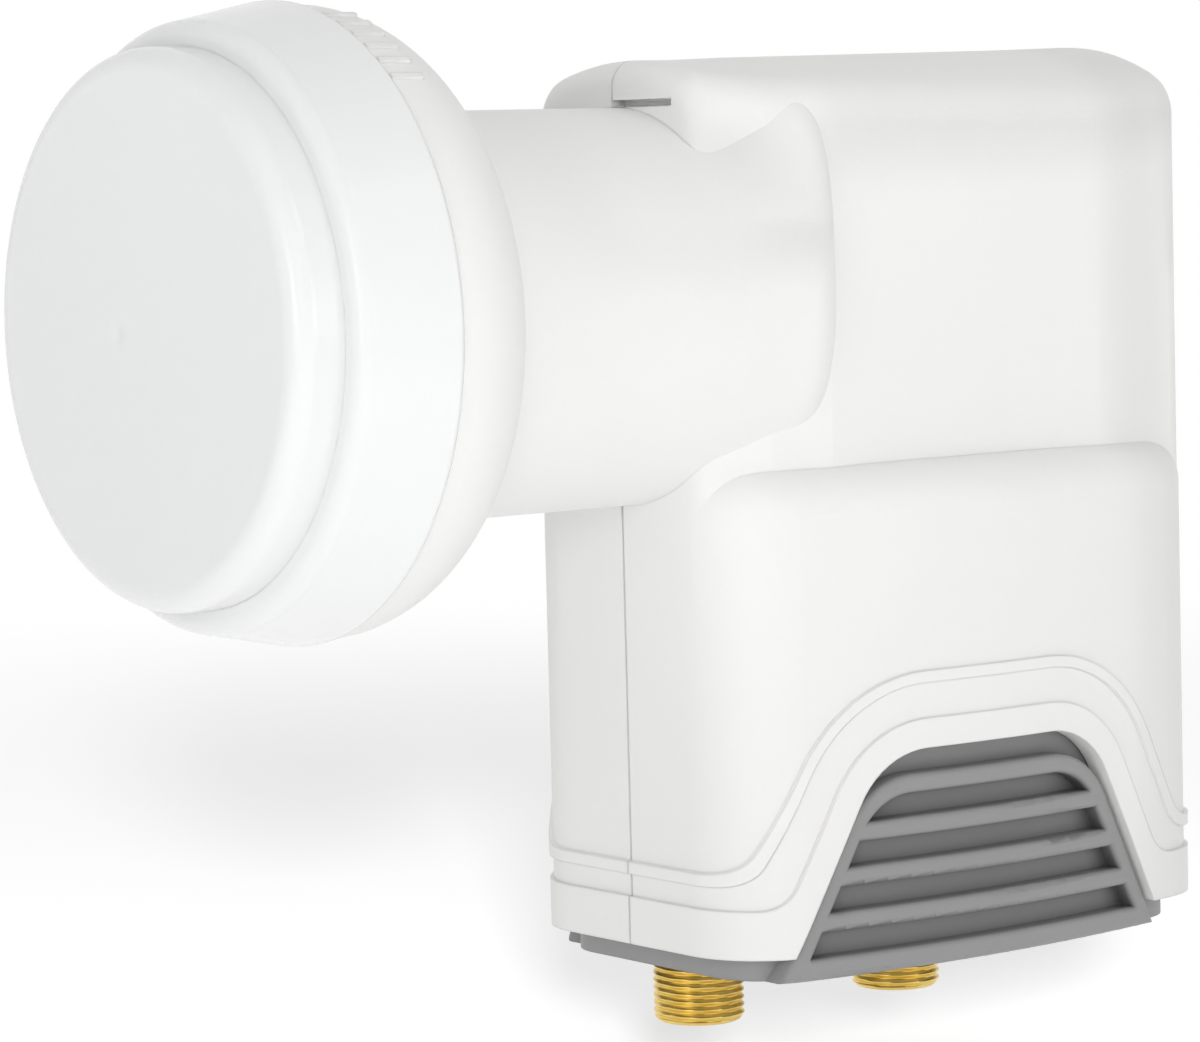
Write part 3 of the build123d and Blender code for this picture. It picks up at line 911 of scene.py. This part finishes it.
@dataclass
class Studio:
    """White floor, soft lamps and the photograph's camera."""

    azimuth: float = 52.517
    elevation: float = 4.724
    roll: float = -1.482
    place: Vector3 = (350.45 * MM, -257.61 * MM, 15.09 * MM)
    focal_pixels: float = 4400.5
    sensor: float = 36.0
    nearest: float = 0.01
    farthest: float = 50.0
    world_light: float = 0.3
    zenith_light: float = 0.77
    paper: Colour = (0.9, 0.9, 0.9)
    floor_lift: float = 0.22
    floor_reach: float = 6.0
    floor_drop: float = 12.5 * MM
    fade_start: float = 0.26
    fade_run: float = 0.36
    softboxes: tuple[Softbox, ...] = (
        Softbox("key", 55.0, 15.0, 1.1, 0.25, 0.25, 10.1, False),
        Softbox("side", 111.0, 8.5, 0.9, 0.2, 0.28, 2.8),
        Softbox("window", 111.0, 40.0, 0.9, 0.12, 0.26, 2.2),
        Softbox("front_strip", 24.0, 10.0, 0.9, 0.14, 0.5, 2.7),
        Softbox("floor_lamp", 54.0, 11.7, 1.1, 0.1, 0.1, 440.0, False, True),
    )

    def camera(self) -> None:
        """Stand the camera where the photograph was taken."""
        turn, roll = radians(self.azimuth), radians(self.roll)
        back = backward(self.azimuth, self.elevation)
        right = Vector((cos(turn), sin(turn), 0.0))
        up = back.cross(right)
        side = cos(roll) * right + sin(roll) * up
        top = -sin(roll) * right + cos(roll) * up
        data = bpy.data.cameras.new("photo_camera")
        data.sensor_fit = "HORIZONTAL"
        data.sensor_width = self.sensor
        data.lens = self.focal_pixels / PHOTO_WIDTH * self.sensor
        data.clip_start = self.nearest
        data.clip_end = self.farthest
        camera = bpy.data.objects.new("photo_camera", data)
        axes = Matrix((side, top, back)).transposed()
        camera.matrix_world = Matrix.Translation(Vector(self.place)) @ axes.to_4x4()
        bpy.context.scene.collection.objects.link(camera)
        bpy.context.scene.camera = camera

    def floor(self, level: float) -> bpy.types.Object:
        """Lay the white floor.

        Args:
            level: height of the floor.

        Returns:
            The floor.
        """
        mesh = bmesh.new()
        bmesh.ops.create_grid(mesh, x_segments=1, y_segments=1, size=self.floor_reach)
        data = bpy.data.meshes.new("studio_floor")
        mesh.to_mesh(data)
        mesh.free()
        floor = bpy.data.objects.new("studio_floor", data)
        floor.location.z = level
        bpy.context.scene.collection.objects.link(floor)
        material, graph = new_material("studio_floor")
        seen = self._seen(graph)
        paper = graph.node("ShaderNodeBsdfDiffuse", None, {"Color": self.paper})
        lift = graph.node("ShaderNodeEmission", None, {"Strength": seen * self.floor_lift})
        near = graph.node("ShaderNodeAddShader", None, {0: paper, 1: lift})
        far = graph.node("ShaderNodeEmission", None, {"Strength": 1.0})
        fade = graph.ease(graph.distance((0.0, 0.0, 0.0)), self.fade_start, self.fade_run)
        mixed = graph.node("ShaderNodeMixShader", None, {0: seen * fade, 1: near, 2: far})
        graph.node("ShaderNodeOutputMaterial", None, {"Surface": mixed})
        data.materials.append(material)
        floor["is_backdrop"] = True
        return floor

    @staticmethod
    def _seen(graph: Graph) -> Sock:
        """One where a ray comes from the camera, a mirror or glass."""
        camera = graph.node("ShaderNodeLightPath", None, None, "Is Camera Ray")
        glossy = graph.node("ShaderNodeLightPath", None, None, "Is Glossy Ray")
        glass = graph.node("ShaderNodeLightPath", None, None, "Is Transmission Ray")
        return camera.maximum(glossy).maximum(glass)

    def world(self) -> None:
        """Surround the part with plain white light."""
        world = bpy.data.worlds.new("studio")
        world.use_nodes = True
        bpy.context.scene.world = world
        graph = Graph(world.node_tree)
        seen = self._seen(graph)
        way = graph.node("ShaderNodeTexCoord", None, None, "Generated")
        up = graph.node("ShaderNodeSeparateXYZ", None, {0: way}, "Z").maximum(0.0)
        light = self.world_light + (self.zenith_light - self.world_light) * up
        strength = seen + (1.0 - seen) * light
        sky = graph.node("ShaderNodeBackground", None, {"Color": (1.0, 1.0, 1.0), "Strength": strength})
        graph.node("ShaderNodeOutputWorld", None, {"Surface": sky})

    def lamps(self, target: Vector, floor: bpy.types.Object) -> None:
        """Hang the softboxes.

        Args:
            target: point that the lamps are aimed at.
            floor: the studio floor.
        """
        for softbox in self.softboxes:
            LOG.info("hung %s", softbox.build(target, floor).name)

    def build(self, low: Vector, high: Vector) -> None:
        """Set up the whole studio.

        Args:
            low: lowest corner of the part's box.
            high: highest corner of the part's box.
        """
        bpy.context.scene.view_settings.view_transform = "Standard"
        self.camera()
        floor = self.floor(low.z - self.floor_drop)
        self.world()
        self.lamps((low + high) / 2, floor)


def main() -> None:
    """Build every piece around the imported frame."""
    logging.basicConfig(level=logging.INFO)
    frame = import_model()
    cad_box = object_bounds()
    finishes = Finishes()
    finishes.build()
    assembly = Assembly(frame, finishes)
    assembly.dress()
    assembly.sockets()
    assembly.cheeks()
    Studio().build(*(Vector(corner) for corner in cad_box))


if __name__ == "__main__":
    main()
